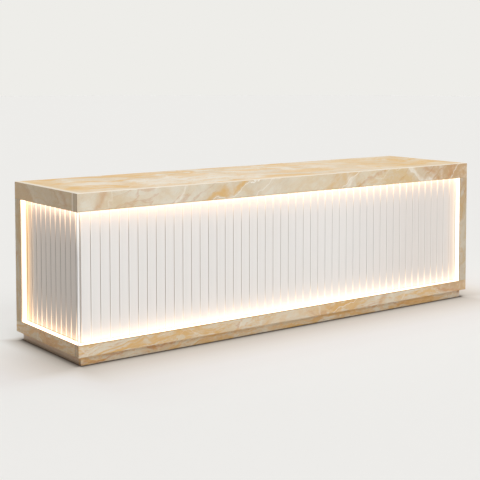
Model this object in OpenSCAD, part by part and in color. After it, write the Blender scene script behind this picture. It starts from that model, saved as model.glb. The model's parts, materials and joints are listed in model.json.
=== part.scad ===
// Reception desk with a stone frame, an edge-lit ribbed wall and a storage side for staff
// Millimetres, +Z up. The origin is at the middle of the footprint, on the floor.
// The front faces -Y, the lit end faces -X and the staff side faces +Y.

/* [Overall] */
// Length from end to end
desk_length = 3560; // [2600:10:4200]
// Depth from front to staff side
desk_depth = 900; // [760:10:1100]
// Height of the counter above the floor
desk_height = 1100; // [980:10:1250]

/* [Stone] */
// Height of the stone fascia round the top
fascia_h = 118; // [90:1:160]
// Height of the stone base boards
base_h = 80; // [60:1:120]
// Height of the recessed plinth
plinth_h = 60; // [40:1:120]
// How far the plinth stands back from the base boards
plinth_inset = 35; // [15:1:48]
// Thickness of the plinth boards
plinth_t = 30; // [20:1:40]
// Thickness of the front, left and rear stone boards, which is also the depth of the lit recess
stone_t = 50; // [48:1:58]
// Thickness of the right stone boards
right_stone_t = 40; // [30:1:60]
// Thickness of the mitred top sheet
sheet_t = 20; // [12:1:30]
// Thickness of the stone panel on the right end
end_panel_t = 30; // [20:1:30]
// Width of the two slim posts that close the lit recess
post_w = 80; // [64:1:120]
// Arris taken off the long edges of the counter
top_arris = 3; // [1:0.5:5]
// Arris taken off every other stone edge
stone_arris = 1; // [0.5:0.5:2]

/* [Ribbed wall] */
// Wanted spacing of the ribs, which is trimmed to fill each wall evenly
rib_pitch = 70; // [40:1:120]
// Thickness of the ribbed panels
ribbed_t = 20; // [16:1:30]
// Depth of the grooves between the ribs
groove_depth = 12; // [6:1:14]
// Width of each groove at its root
groove_w = 3; // [2:0.5:8]
// Radius of the rib shoulders
shoulder_r = 3; // [2:0.5:6]
// Radius of the shallow crown across each rib
crown_r = 320; // [250:10:900]
// Side of the square bar at the lit corner
corner_bar_w = 12; // [8:1:20]
// Radius of the bar's edges
corner_bar_r = 1.5; // [0.5:0.5:3]

/* [Light] */
// Width of the aluminium light channels
channel_w = 44; // [24:1:44]
// Depth of the channels, flush in the stone
channel_d = 12; // [8:1:20]
// Wall of the channels
channel_wall = 1.5; // [1:0.1:2.5]
// Thickness of the diffuser covers
diffuser_t = 2; // [1:0.1:3]
// Width and thickness of the ledges in a channel that carry its diffuser
ledge_w = 1.5; // [1:0.1:3]
// Width of the light strip inside each channel
strip_w = 20; // [8:1:20]
// Thickness of the light strip
strip_t = 1.5; // [1:0.1:3]
// Side clearance of a channel in its rebate and at the mitre of two channels
channel_fit = 0.3; // [0.1:0.1:1]
// Length of the driver box
driver_l = 200; // [120:1:300]
// Height of the driver box
driver_h = 60; // [40:1:80]
// Depth of the driver box
driver_d = 36; // [25:1:50]
// Distance of the driver from the side and the top of the cupboard
driver_margin = 18; // [5:1:40]
// Radius of the driver's cable glands
gland_r = 9; // [5:0.5:10]
// Length of the glands
gland_l = 18; // [10:1:25]
// Distance between the middles of the two glands
gland_spacing = 30; // [22:1:34]

/* [Cabinet] */
// Thickness of the cabinet boards
board_t = 18; // [16:1:25]
// Thickness of the board that carries the top sheet
substrate_t = 25; // [18:1:38]
// Width of the timber bearers in base and top
bearer_w = 45; // [35:1:70]
// Wanted spacing of the bearers
bearer_pitch = 570; // [400:10:700]
// Clear width of the cupboard bay
cupboard_w = 900; // [700:10:1000]
// Clear width of the drawer bay
drawer_bay_w = 600; // [450:10:700]
// Gap round and between doors and drawer fronts
front_gap = 3; // [2:0.5:5]
// Gap between the cabinet edge and the back of the fronts
bumper_gap = 2; // [1:0.5:4]
// Thickness of doors and drawer fronts
front_t = 18; // [16:1:20]
// Setback of the shelves from the cabinet edge
shelf_setback = 20; // [10:1:80]
// Side clearance of a loose shelf
shelf_fit = 1; // [0.5:0.5:3]
// Height of the cupboard shelf above the cabinet floor
cupboard_shelf_z = 400; // [250:10:600]
// Number of loose shelves in the open bay, spaced evenly
open_shelves = 2; // [1:1:3]

/* [Doors] */
// Radius of the pivot pins
pivot_r = 4; // [3:0.5:5]
// Length of the pivot pins
pivot_l = 20; // [10:1:30]
// Thickness of the pivot plates
pivot_plate_t = 2; // [1.5:0.1:2.5]
// Length of the pivot plates
pivot_plate_l = 40; // [24:1:60]
// Clearance of the pins in the doors
pivot_fit = 0.1; // [0.05:0.01:0.2]
// Distance from a door's free edge to its knob
knob_inset = 40; // [25:1:80]

/* [Drawers] */
// Length of a drawer box
drawer_l = 600; // [450:10:650]
// Height of a drawer box
drawer_h = 200; // [120:5:220]
// Height of a drawer box above the lower edge of its front
drawer_lift = 30; // [25:1:40]
// Thickness of drawer sides
drawer_wall = 12; // [9:1:16]
// Thickness of drawer bottoms
drawer_bottom = 9; // [6:1:12]
// Height of a drawer's bottom above the lower edge of its sides
drawer_bottom_z = 12; // [8:1:20]
// Space for the slides on each side of a drawer
slide_space = 13; // [12.5:0.5:16]
// Height of the slides
slide_h = 45; // [40:1:55]
// Length of the slides
slide_l = 550; // [400:10:600]
// Sheet metal of the slides
slide_sheet = 1.5; // [1:0.1:1.8]
// Running gap between two members of a slide
slide_gap = 0.5; // [0.3:0.1:0.8]
// Height of the middle of a slide above the drawer's underside
slide_z = 60; // [40:1:90]
// Width of the flanges of a slide's fixed member
slide_flange = 8; // [6:0.5:9]
// Distance from the cabinet side to the web of a slide's middle member
slide_web = 5; // [4:0.5:5.5]

/* [Hardware] */
// Radius of a knob's head
knob_r = 13; // [11:0.5:18]
// Length of a knob
knob_l = 28; // [24:1:28]
// Thickness of a knob's head
knob_head_t = 10; // [8:0.5:11]
// Radius of the rim round a knob's head
knob_rim_r = 3; // [1:0.5:4]
// Radius of a knob's foot
knob_foot_r = 9; // [7:0.5:10]
// Thickness of a knob's foot
knob_foot_t = 2; // [1:0.5:3]
// Radius of a knob's neck
knob_neck_r = 5; // [4:0.5:6]
// Radius of a levelling foot
foot_r = 28; // [24:1:40]
// Height of a foot's rim
foot_rim_h = 6; // [3:1:8]
// Height at which a foot's cone meets its screw
foot_cone_h = 15; // [10:1:18]
// Radius of a foot's screw
foot_screw_r = 11; // [6:1:14]
// Radius of a foot's head under its bearer
foot_head_r = 22; // [16:1:26]
// Thickness of a foot's head
foot_head_t = 5; // [3:1:8]
// Height over which the screw widens into the head
foot_flare_h = 6; // [3:1:10]
// Gap between the feet at the ends and the plinth
foot_gap = 5; // [2:1:20]
// Distance of the feet from the stone at the ends of their bearer
foot_inset = 200; // [100:10:300]
// Width of a shelf support
support_w = 20; // [12:1:30]
// Height and reach of a shelf support
support_reach = 16; // [10:1:25]
// Metal of a shelf support
support_t = 2; // [1.5:0.1:3]
// Distance of the supports from the front and rear of a shelf
support_inset = 60; // [30:1:120]

/* [Hidden] */

$fn = 64;
crown_fn = 360;

// How far a cutter runs past the face that it cuts
past = 1;

// Drawers, whose sub-parts are named one by one above
drawer_count = 3;

// Colours as they show in ordinary light
stone_colour = [0.86, 0.77, 0.64];
white_colour = [0.93, 0.92, 0.90];
light_colour = [1.00, 0.95, 0.86];
timber_colour = [0.80, 0.68, 0.50];
steel_colour = [0.72, 0.73, 0.75];
brass_colour = [0.78, 0.62, 0.34];
black_colour = [0.10, 0.10, 0.11];

// Levels
base_top = plinth_h + base_h;
fascia_bottom = desk_height - fascia_h;
sheet_bottom = desk_height - sheet_t;
wall_h = fascia_bottom - base_top;
cabinet_top_z = fascia_bottom - board_t;
inside_h = cabinet_top_z - base_top;

// Lengths along X, counted from the lit end
post_x = desk_length - post_w;
right_stone_x = desk_length - right_stone_t;
end_panel_x = desk_length - end_panel_t;
inner_left = stone_t + ribbed_t + board_t;
inner_right = end_panel_x - board_t;

// Lengths along Y, counted from the front
rear_stone_y = desk_depth - stone_t;
post_y = desk_depth - post_w;
inner_front = stone_t + ribbed_t + board_t;
fronts_y = rear_stone_y + bumper_gap;
fronts_face = fronts_y + front_t;

// Ribs
front_wall_l = post_x - stone_t;
end_wall_l = post_y - stone_t;
front_ribs = round(front_wall_l / rib_pitch);
end_ribs = round(end_wall_l / rib_pitch);
front_pitch = front_wall_l / front_ribs;
end_pitch = end_wall_l / end_ribs;
first_panel_ribs = floor(front_ribs / 2);
panel_joint_x = stone_t + first_panel_ribs * front_pitch;

// Middles of the first and the last bearer: the base row stands in, so that its feet clear the plinth
top_bearer_first = stone_t + bearer_w / 2;
top_bearer_last = right_stone_x - bearer_w / 2;
base_bearer_first = plinth_inset + plinth_t + foot_gap + foot_r;
base_bearer_last = desk_length - base_bearer_first;
bearer_gaps = round((top_bearer_last - top_bearer_first) / bearer_pitch);

// Bays on the staff side
cupboard_end = inner_left + cupboard_w;
drawer_start = inner_right - drawer_bay_w;
middle_start = cupboard_end + board_t;
middle_end = drawer_start - board_t;
open_w = (middle_end - middle_start - board_t) / 2;
open_end = middle_start + open_w;

// Doors and drawer fronts
fronts_z = base_top + front_gap;
fronts_h = wall_h - 2 * front_gap;
doors_start = stone_t + front_gap;
doors_end = cupboard_end + board_t / 2;
door_w = (doors_end - doors_start - front_gap) / 2;
pivot_inset = front_t / 2;
pivot_y = fronts_y + front_t / 2;
drawer_fronts_start = drawer_start - board_t / 2;
drawer_fronts_w = end_panel_x - front_gap - drawer_fronts_start;
drawer_front_h = (fronts_h - (drawer_count - 1) * front_gap) / drawer_count;

// Diagonal cuts at the lit corner reach this far along both walls
mitre_reach = stone_t + ribbed_t + past;

// Places everything that is measured from the front left corner of the floor
module from_corner() {
    translate([-desk_length / 2, -desk_depth / 2, 0]) children();
}

// A board between two opposite corners
module board(low, high) {
    translate(low) cube(high - low);
}

// An octagon that is a rectangle with its four corners taken off
module cut_corner_rectangle(w, h, cut) {
    polygon([
        [cut, 0],
        [w - cut, 0],
        [w, cut],
        [w, h - cut],
        [w - cut, h],
        [cut, h],
        [0, h - cut],
        [0, cut],
    ]);
}

// A stone board whose twelve edges have an arris
module stone_board(low, high) {
    size = high - low;
    translate(low) intersection() {
        linear_extrude(size[2]) cut_corner_rectangle(size[0], size[1], stone_arris);
        translate([0, size[1], 0]) rotate([90, 0, 0])
            linear_extrude(size[1]) cut_corner_rectangle(size[0], size[2], stone_arris);
        rotate([90, 0, 90])
            linear_extrude(size[0]) cut_corner_rectangle(size[1], size[2], stone_arris);
    }
}

// Lays a section drawn across X and Z along the whole depth of the desk
module along_depth() {
    translate([0, desk_depth + past, 0]) rotate([90, 0, 0])
        linear_extrude(desk_depth + 2 * past) children();
}

// Lays a section drawn across Y and Z along the whole length of the desk
module along_length() {
    translate([-past, 0, 0]) rotate([90, 0, 90])
        linear_extrude(desk_length + 2 * past) children();
}

// Section of the top slab above the mitre, for a slab of one width
module mitre_section(w) {
    polygon([
        [sheet_t, sheet_bottom],
        [w - sheet_t, sheet_bottom],
        [w + past, desk_height + past],
        [-past, desk_height + past],
    ]);
}

// Section of the outside of the top slab with its arris
module slab_section(w) {
    polygon([
        [0, fascia_bottom],
        [w, fascia_bottom],
        [w, desk_height - top_arris],
        [w - top_arris, desk_height],
        [top_arris, desk_height],
        [0, desk_height - top_arris],
    ]);
}

// Everything above the mitred joint between top sheet and fascia
module above_mitre() {
    intersection() {
        along_depth() mitre_section(desk_length);
        along_length() mitre_section(desk_depth);
    }
}

// Outside of the whole top slab
module slab_outside() {
    intersection() {
        along_depth() slab_section(desk_length);
        along_length() slab_section(desk_depth);
    }
}

// A fascia board between two plan corners, mitred to the top sheet
module fascia_board(low, high) {
    difference() {
        intersection() {
            stone_board([low[0], low[1], fascia_bottom], [high[0], high[1], desk_height + past]);
            slab_outside();
        }
        above_mitre();
    }
}

// Half-plane beside the diagonal at the lit corner, drawn back from it by half a gap
module mitre_cutter(gap) {
    linear_extrude(2 * desk_height, center = true) polygon([
        [-past, -past],
        [gap / 2 - past, -past],
        [gap / 2 + mitre_reach, mitre_reach],
        [-past, mitre_reach],
    ]);
}

// Cuts children of the front wall back to the diagonal at the lit corner
module front_side_of_mitre(gap = 0) {
    difference() {
        children();
        mitre_cutter(gap);
    }
}

// Cuts children of the end wall back to the diagonal at the lit corner
module end_side_of_mitre(gap = 0) {
    difference() {
        children();
        mirror([1, -1, 0]) mitre_cutter(gap);
    }
}

// Plan corners of a light run along the front, at its full width or widened by a clearance
function front_run_low(w) = [(stone_t - w) / 2, (stone_t - w) / 2];
function front_run_high(w) = [post_x, (stone_t + w) / 2];

// Plan corners of a light run along the lit end
function end_run_low(w) = [(stone_t - w) / 2, (stone_t - w) / 2];
function end_run_high(w) = [(stone_t + w) / 2, post_y];

// Rebates for both light runs, from one level up to another
module run_rebates(bottom, top) {
    w = channel_w + 2 * channel_fit;
    front_low = front_run_low(w);
    front_high = front_run_high(w);
    end_low = end_run_low(w);
    end_high = end_run_high(w);
    board([front_low[0], front_low[1], bottom], [front_high[0], front_high[1], top]);
    board([end_low[0], end_low[1], bottom], [end_high[0], end_high[1], top]);
}

// Space that the corner bar takes at one level, with its clearance
module bar_notch(bottom, top) {
    board([-past, -past, bottom], [corner_bar_w + channel_fit, corner_bar_w + channel_fit, top]);
}

// Rebates in the base boards
module base_rebates() {
    difference() {
        run_rebates(base_top - channel_d, base_top + past);
        bar_notch(base_top - channel_d - past, base_top + 2 * past);
    }
}

// Rebates in the fascia boards
module fascia_rebates() {
    difference() {
        run_rebates(fascia_bottom - past, fascia_bottom + channel_d);
        bar_notch(fascia_bottom - 2 * past, fascia_bottom + channel_d + past);
    }
}

// Section of a channel that opens upwards, its mouth at zero, with a ledge along each wall
module channel_section() {
    difference() {
        translate([-channel_w / 2, -channel_d]) square([channel_w, channel_d]);
        translate([-channel_w / 2 + channel_wall, -channel_d + channel_wall])
            square([channel_w - 2 * channel_wall, channel_d]);
    }
    for (x = [-channel_w / 2 + channel_wall, channel_w / 2 - channel_wall - ledge_w]) {
        translate([x, -diffuser_t - ledge_w]) square(ledge_w);
    }
}

// Section of the diffuser that closes a channel
module diffuser_section() {
    translate([-channel_w / 2 + channel_wall, -diffuser_t])
        square([channel_w - 2 * channel_wall, diffuser_t]);
}

// Section of the light strip on a channel's floor
module strip_section() {
    translate([-strip_w / 2, -channel_d + channel_wall]) square([strip_w, strip_t]);
}

// Lays an upward section along the front recess
module front_run() {
    front_side_of_mitre(channel_fit)
        translate([(stone_t - channel_w) / 2, stone_t / 2, 0]) rotate([90, 0, 90])
            linear_extrude(post_x - (stone_t - channel_w) / 2) children();
}

// Lays an upward section along the end recess
module end_run() {
    end_side_of_mitre(channel_fit)
        translate([stone_t / 2, post_y, 0]) rotate([90, 0, 0])
            linear_extrude(post_y - (stone_t - channel_w) / 2) children();
}

// Both base runs of a section
module base_runs() {
    difference() {
        translate([0, 0, base_top]) {
            front_run() children();
            end_run() children();
        }
        bar_notch(base_top - channel_d - past, base_top + past);
    }
}

// Both runs of a section under the fascia, which face down
module top_runs() {
    difference() {
        translate([0, 0, fascia_bottom]) mirror([0, 0, 1]) {
            front_run() children();
            end_run() children();
        }
        bar_notch(fascia_bottom - past, fascia_bottom + channel_d + past);
    }
}

// Both upright runs of a section, in the faces of the two posts
module post_runs() {
    translate([post_x, stone_t / 2, base_top]) rotate([0, 0, 90])
        linear_extrude(wall_h) children();
    translate([stone_t / 2, post_y, base_top]) rotate([0, 0, 180])
        linear_extrude(wall_h) children();
}

// Cross-section of one rib, its face at zero and its root at the groove depth
module rib_section(pitch) {
    rib_w = pitch - groove_w;
    intersection() {
        union() {
            translate([groove_w / 2, shoulder_r]) square([rib_w, groove_depth - shoulder_r + past]);
            translate([groove_w / 2 + shoulder_r, 0])
                square([rib_w - 2 * shoulder_r, groove_depth + past]);
            translate([groove_w / 2 + shoulder_r, shoulder_r]) circle(shoulder_r);
            translate([pitch - groove_w / 2 - shoulder_r, shoulder_r]) circle(shoulder_r);
        }
        translate([pitch / 2, crown_r]) circle(crown_r, $fn = crown_fn);
    }
}

// Cross-section of a ribbed panel with plain margins at its two ends
module ribbed_section(ribs, pitch, margin_before, margin_after) {
    length = ribs * pitch;
    translate([-margin_before, groove_depth])
        square([margin_before + length + margin_after, ribbed_t - groove_depth]);
    for (i = [0 : ribs - 1]) {
        translate([i * pitch, 0]) rib_section(pitch);
    }
    if (margin_after > 0) {
        translate([length, 0]) square([margin_after, groove_depth + past]);
    }
}

// Middle of one bearer in a row that runs from the first to the last
function bearer_x(first, last, i) = first + i * (last - first) / bearer_gaps;

// A row of bearers between two levels
module bearers(first, last, bottom, top) {
    for (i = [0 : bearer_gaps]) {
        x = bearer_x(first, last, i);
        board([x - bearer_w / 2, stone_t, bottom], [x + bearer_w / 2, rear_stone_y, top]);
    }
}

// Half section of a turned knob: foot, neck and a head with a round rim
module knob_section() {
    head_z = knob_l - knob_head_t;
    polygon([
        [0, 0],
        [knob_foot_r, 0],
        [knob_foot_r, knob_foot_t],
        [knob_neck_r, knob_foot_t + knob_foot_r - knob_neck_r],
        [knob_neck_r, head_z],
        [0, head_z],
    ]);
    translate([0, head_z]) square([knob_r - knob_rim_r, knob_head_t]);
    translate([0, head_z + knob_rim_r]) square([knob_r, knob_head_t - 2 * knob_rim_r]);
    for (z = [head_z + knob_rim_r, knob_l - knob_rim_r]) {
        translate([knob_r - knob_rim_r, z]) circle(knob_rim_r);
    }
}

// A turned knob that stands out along +Y from a front's face
module knob() {
    rotate([-90, 0, 0]) rotate_extrude() knob_section();
}

// A levelling foot from the floor to the underside of a bearer
module foot() {
    rotate_extrude() polygon([
        [0, 0],
        [foot_r, 0],
        [foot_r, foot_rim_h],
        [foot_screw_r, foot_cone_h],
        [foot_screw_r, plinth_h - foot_head_t - foot_flare_h],
        [foot_head_r, plinth_h - foot_head_t],
        [foot_head_r, plinth_h],
        [0, plinth_h],
    ]);
}

// A door leaf with a round heel on its pivot line, which lies at zero
module door_leaf(w) {
    difference() {
        translate([0, 0, fronts_z]) linear_extrude(fronts_h) {
            circle(front_t / 2);
            translate([0, -front_t / 2]) square([w - pivot_inset, front_t]);
        }
        for (z = [fronts_z - past, fronts_z + fronts_h - pivot_l]) {
            translate([0, 0, z]) cylinder(h = pivot_l + past, r = pivot_r + pivot_fit);
        }
    }
}

// Both pivots of one door: a plate with a pin at the foot and another at the head
module pivot_pair(side) {
    plate = [
        [-pivot_inset, -front_t / 2],
        [pivot_plate_l - pivot_inset, -front_t / 2],
        [pivot_plate_l - pivot_inset, front_t / 2],
        [-pivot_inset, front_t / 2],
    ];
    mirror([side < 0 ? 1 : 0, 0, 0]) {
        translate([0, 0, base_top]) {
            linear_extrude(pivot_plate_t) polygon(plate);
            cylinder(h = pivot_l - past, r = pivot_r);
        }
        translate([0, 0, fascia_bottom - pivot_plate_t]) linear_extrude(pivot_plate_t) polygon(plate);
        translate([0, 0, fascia_bottom - pivot_l + past]) cylinder(h = pivot_l - past, r = pivot_r);
    }
}

// Sections of the three members of a slide: zero is the cabinet side, slide_space the drawer side
module fixed_member_section() {
    translate([0, -slide_h / 2]) square([slide_sheet, slide_h]);
    translate([0, slide_h / 2 - slide_sheet]) square([slide_flange, slide_sheet]);
    translate([0, -slide_h / 2]) square([slide_flange, slide_sheet]);
}

module middle_member_section() {
    half = slide_h / 2 - slide_sheet - slide_gap;
    near = slide_sheet + slide_gap;
    far = slide_space - slide_sheet - slide_gap;
    translate([slide_web, -half]) square([slide_sheet, 2 * half]);
    translate([near, half - slide_sheet]) square([far - near, slide_sheet]);
    translate([near, -half]) square([far - near, slide_sheet]);
}

module inner_member_section() {
    half = slide_h / 2 - 2 * slide_sheet - 2 * slide_gap;
    near = slide_web + slide_sheet + slide_gap;
    translate([slide_space - slide_sheet, -half]) square([slide_sheet, 2 * half]);
    translate([near, half - slide_sheet]) square([slide_space - near, slide_sheet]);
    translate([near, -half]) square([slide_space - near, slide_sheet]);
}

// Lower edge of a drawer front, counted from the top drawer
function drawer_front_z(i) =
    fronts_z + (drawer_count - i) * (drawer_front_h + front_gap);

// Underside of a drawer box
function drawer_box_z(i) = drawer_front_z(i) + drawer_lift;

// One member on both sides of a drawer
module slide_pair(i) {
    translate([0, rear_stone_y - bumper_gap, drawer_box_z(i) + slide_z]) {
        translate([drawer_start, 0, 0]) rotate([90, 0, 0]) linear_extrude(slide_l) children();
        translate([inner_right, 0, 0]) mirror([1, 0, 0])
            rotate([90, 0, 0]) linear_extrude(slide_l) children();
    }
}

module drawer_front(i) {
    z = drawer_front_z(i);
    color(white_colour) from_corner() board(
        [drawer_fronts_start, fronts_y, z],
        [drawer_fronts_start + drawer_fronts_w, fronts_face, z + drawer_front_h]);
}

module drawer_box(i) {
    x0 = drawer_start + slide_space;
    x1 = inner_right - slide_space;
    y0 = fronts_y - drawer_l;
    z0 = drawer_box_z(i);
    color(timber_colour) from_corner() difference() {
        board([x0, y0, z0], [x1, fronts_y, z0 + drawer_h]);
        board(
            [x0 + drawer_wall, y0 + drawer_wall, z0 + drawer_bottom_z + drawer_bottom],
            [x1 - drawer_wall, fronts_y - drawer_wall, z0 + drawer_h + past]);
        board(
            [x0 + drawer_wall, y0 + drawer_wall, z0 - past],
            [x1 - drawer_wall, fronts_y - drawer_wall, z0 + drawer_bottom_z]);
    }
}

module drawer_knob(i) {
    x = drawer_fronts_start + drawer_fronts_w / 2;
    color(brass_colour) from_corner()
        translate([x, fronts_face, drawer_front_z(i) + drawer_front_h / 2]) knob();
}

module drawer_inner_members(i) {
    color(steel_colour) from_corner() slide_pair(i) inner_member_section();
}

module drawer_middle_members(i) {
    color(steel_colour) from_corner() slide_pair(i) middle_member_section();
}

module stone_top_panel() {
    color(stone_colour) from_corner() intersection() {
        above_mitre();
        slab_outside();
    }
}

module top_fascia_front() {
    color(stone_colour) from_corner() difference() {
        fascia_board([0, 0], [right_stone_x, stone_t]);
        fascia_rebates();
    }
}

module top_fascia_right() {
    color(stone_colour) from_corner()
        fascia_board([right_stone_x, 0], [desk_length, rear_stone_y]);
}

module top_fascia_rear() {
    color(stone_colour) from_corner()
        fascia_board([stone_t, rear_stone_y], [desk_length, desk_depth]);
}

module top_fascia_left() {
    color(stone_colour) from_corner() difference() {
        fascia_board([0, stone_t], [stone_t, desk_depth]);
        fascia_rebates();
    }
}

module right_post() {
    color(stone_colour) from_corner() difference() {
        stone_board([post_x, 0, base_top], [desk_length, stone_t, fascia_bottom]);
        board(
            [post_x - past, (stone_t - channel_w) / 2 - channel_fit, base_top - past],
            [post_x + channel_d, (stone_t + channel_w) / 2 + channel_fit, fascia_bottom + past]);
    }
}

module left_post() {
    color(stone_colour) from_corner() difference() {
        stone_board([0, post_y, base_top], [stone_t, desk_depth, fascia_bottom]);
        board(
            [(stone_t - channel_w) / 2 - channel_fit, post_y - past, base_top - past],
            [(stone_t + channel_w) / 2 + channel_fit, post_y + channel_d, fascia_bottom + past]);
    }
}

module right_end_panel() {
    color(stone_colour) from_corner()
        stone_board([end_panel_x, stone_t, base_top], [desk_length, desk_depth, fascia_bottom]);
}

module base_board_front() {
    color(stone_colour) from_corner() difference() {
        stone_board([0, 0, plinth_h], [right_stone_x, stone_t, base_top]);
        base_rebates();
    }
}

module base_board_right() {
    color(stone_colour) from_corner()
        stone_board([right_stone_x, 0, plinth_h], [desk_length, rear_stone_y, base_top]);
}

module base_board_rear() {
    color(stone_colour) from_corner()
        stone_board([stone_t, rear_stone_y, plinth_h], [desk_length, desk_depth, base_top]);
}

module base_board_left() {
    color(stone_colour) from_corner() difference() {
        stone_board([0, stone_t, plinth_h], [stone_t, desk_depth, base_top]);
        base_rebates();
    }
}

module plinth_front() {
    near = plinth_inset;
    color(stone_colour) from_corner()
        stone_board([near, near, 0], [desk_length - near - plinth_t, near + plinth_t, plinth_h]);
}

module plinth_rear() {
    far = desk_depth - plinth_inset;
    color(stone_colour) from_corner() stone_board(
        [plinth_inset + plinth_t, far - plinth_t, 0],
        [desk_length - plinth_inset, far, plinth_h]);
}

module plinth_ends() {
    near = plinth_inset;
    color(stone_colour) from_corner() {
        stone_board([near, near + plinth_t, 0], [near + plinth_t, desk_depth - near, plinth_h]);
        stone_board(
            [desk_length - near - plinth_t, near, 0],
            [desk_length - near, desk_depth - near - plinth_t, plinth_h]);
    }
}

module ribbed_panel_front_left() {
    color(white_colour) from_corner() front_side_of_mitre()
        translate([stone_t, stone_t, base_top])
            linear_extrude(wall_h) ribbed_section(first_panel_ribs, front_pitch, 0, 0);
}

module ribbed_panel_front_right() {
    color(white_colour) from_corner() translate([panel_joint_x, stone_t, base_top])
        linear_extrude(wall_h) ribbed_section(
            front_ribs - first_panel_ribs, front_pitch, 0, inner_right - post_x);
}

module ribbed_panel_left_end() {
    color(white_colour) from_corner() end_side_of_mitre()
        translate([stone_t, stone_t, base_top]) mirror([1, -1, 0])
            linear_extrude(wall_h) ribbed_section(end_ribs, end_pitch, 0, rear_stone_y - post_y);
}

module corner_bar() {
    far = corner_bar_w - corner_bar_r;
    color(white_colour) from_corner() translate([0, 0, base_top]) linear_extrude(wall_h) {
        translate([corner_bar_r, 0]) square([far - corner_bar_r, corner_bar_w]);
        translate([0, corner_bar_r]) square([corner_bar_w, far - corner_bar_r]);
        for (x = [corner_bar_r, far], y = [corner_bar_r, far]) {
            translate([x, y]) circle(corner_bar_r);
        }
    }
}

module led_channel_top() {
    color(steel_colour) from_corner() top_runs() channel_section();
}

module led_channel_base() {
    color(steel_colour) from_corner() base_runs() channel_section();
}

module led_channel_posts() {
    color(steel_colour) from_corner() post_runs() channel_section();
}

module led_diffuser_top() {
    color(light_colour) from_corner() top_runs() diffuser_section();
}

module led_diffuser_base() {
    color(light_colour) from_corner() base_runs() diffuser_section();
}

module led_diffuser_posts() {
    color(light_colour) from_corner() post_runs() diffuser_section();
}

module led_strips() {
    color(light_colour) from_corner() {
        top_runs() strip_section();
        base_runs() strip_section();
        post_runs() strip_section();
    }
}

// The driver hangs on the front board inside the cupboard and shows its two cable glands
module led_driver() {
    x = inner_left + driver_margin;
    z = cabinet_top_z - driver_h - driver_margin;
    color(white_colour) from_corner() {
        board([x, inner_front, z], [x + driver_l, inner_front + driver_d, z + driver_h]);
        translate([x + driver_l, inner_front + driver_d / 2, z + driver_h / 2]) rotate([0, 90, 0])
            for (across = [-gland_spacing / 2, gland_spacing / 2]) {
                translate([across, 0, 0]) cylinder(h = gland_l, r = gland_r);
            }
    }
}

module levelling_feet() {
    color(black_colour) from_corner() for (i = [0 : bearer_gaps]) {
        for (y = [stone_t + foot_inset, rear_stone_y - foot_inset]) {
            translate([bearer_x(base_bearer_first, base_bearer_last, i), y, 0]) foot();
        }
    }
}

module base_bearers() {
    color(timber_colour) from_corner()
        bearers(base_bearer_first, base_bearer_last, plinth_h, base_top - board_t);
}

module cabinet_floor() {
    color(white_colour) from_corner()
        board([stone_t, stone_t, base_top - board_t], [right_stone_x, rear_stone_y, base_top]);
}

module front_backer() {
    color(white_colour) from_corner() board(
        [inner_left, stone_t + ribbed_t, base_top],
        [inner_right, inner_front, fascia_bottom]);
}

module side_boards() {
    color(white_colour) from_corner() {
        board(
            [stone_t + ribbed_t, stone_t + ribbed_t, base_top],
            [inner_left, rear_stone_y, fascia_bottom]);
        board([inner_right, stone_t, base_top], [end_panel_x, rear_stone_y, fascia_bottom]);
    }
}

module dividers() {
    color(white_colour) from_corner() for (x = [cupboard_end, open_end, middle_end]) {
        board([x, inner_front, base_top], [x + board_t, rear_stone_y, cabinet_top_z]);
    }
}

module cabinet_top() {
    color(white_colour) from_corner() board(
        [inner_left, inner_front, cabinet_top_z],
        [inner_right, rear_stone_y, fascia_bottom]);
}

module top_bearers() {
    color(timber_colour) from_corner()
        bearers(top_bearer_first, top_bearer_last, fascia_bottom, sheet_bottom - substrate_t);
}

module top_substrate() {
    color(timber_colour) from_corner() board(
        [stone_t, stone_t, sheet_bottom - substrate_t],
        [right_stone_x, rear_stone_y, sheet_bottom]);
}

// Places of the loose shelves: where a bay starts, where it ends and the shelf's underside
shelf_places = [
    [inner_left, cupboard_end, base_top + cupboard_shelf_z],
    for (i = [1 : open_shelves]) [middle_start, open_end, base_top + inside_h * i / (open_shelves + 1)],
];

module shelves() {
    color(white_colour) from_corner() for (place = shelf_places) {
        board(
            [place[0] + shelf_fit, inner_front + shelf_fit, place[2]],
            [place[1] - shelf_fit, rear_stone_y - shelf_setback, place[2] + board_t]);
    }
}

// A bent bracket on a board at zero, with its ledge under a shelf at zero
module shelf_support() {
    rotate([90, 0, 0]) translate([0, 0, -support_w / 2]) linear_extrude(support_w) polygon([
        [0, 0],
        [support_reach, 0],
        [support_reach, -support_t],
        [support_t, -support_t],
        [support_t, -support_reach],
        [0, -support_reach],
    ]);
}

module shelf_supports() {
    front_y = inner_front + support_inset;
    rear_y = rear_stone_y - shelf_setback - support_inset;
    color(steel_colour) from_corner() for (place = shelf_places) {
        for (y = [front_y, rear_y]) {
            translate([place[0], y, place[2]]) shelf_support();
            translate([place[1], y, place[2]]) mirror([1, 0, 0]) shelf_support();
        }
    }
}

module door_pivots() {
    color(steel_colour) from_corner() {
        translate([doors_start + pivot_inset, pivot_y, 0]) pivot_pair(1);
        translate([doors_end - pivot_inset, pivot_y, 0]) pivot_pair(-1);
    }
}

module left_door() {
    color(white_colour) from_corner()
        translate([doors_start + pivot_inset, pivot_y, 0]) door_leaf(door_w);
}

module right_door() {
    color(white_colour) from_corner()
        translate([doors_end - pivot_inset, pivot_y, 0]) mirror([1, 0, 0]) door_leaf(door_w);
}

module left_door_knob() {
    color(brass_colour) from_corner()
        translate([doors_start + door_w - knob_inset, fronts_face, fronts_z + fronts_h / 2]) knob();
}

module right_door_knob() {
    color(brass_colour) from_corner()
        translate([doors_end - door_w + knob_inset, fronts_face, fronts_z + fronts_h / 2]) knob();
}

module slide_fixed_members() {
    color(steel_colour) from_corner() for (i = [1 : drawer_count]) {
        slide_pair(i) fixed_member_section();
    }
}

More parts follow.
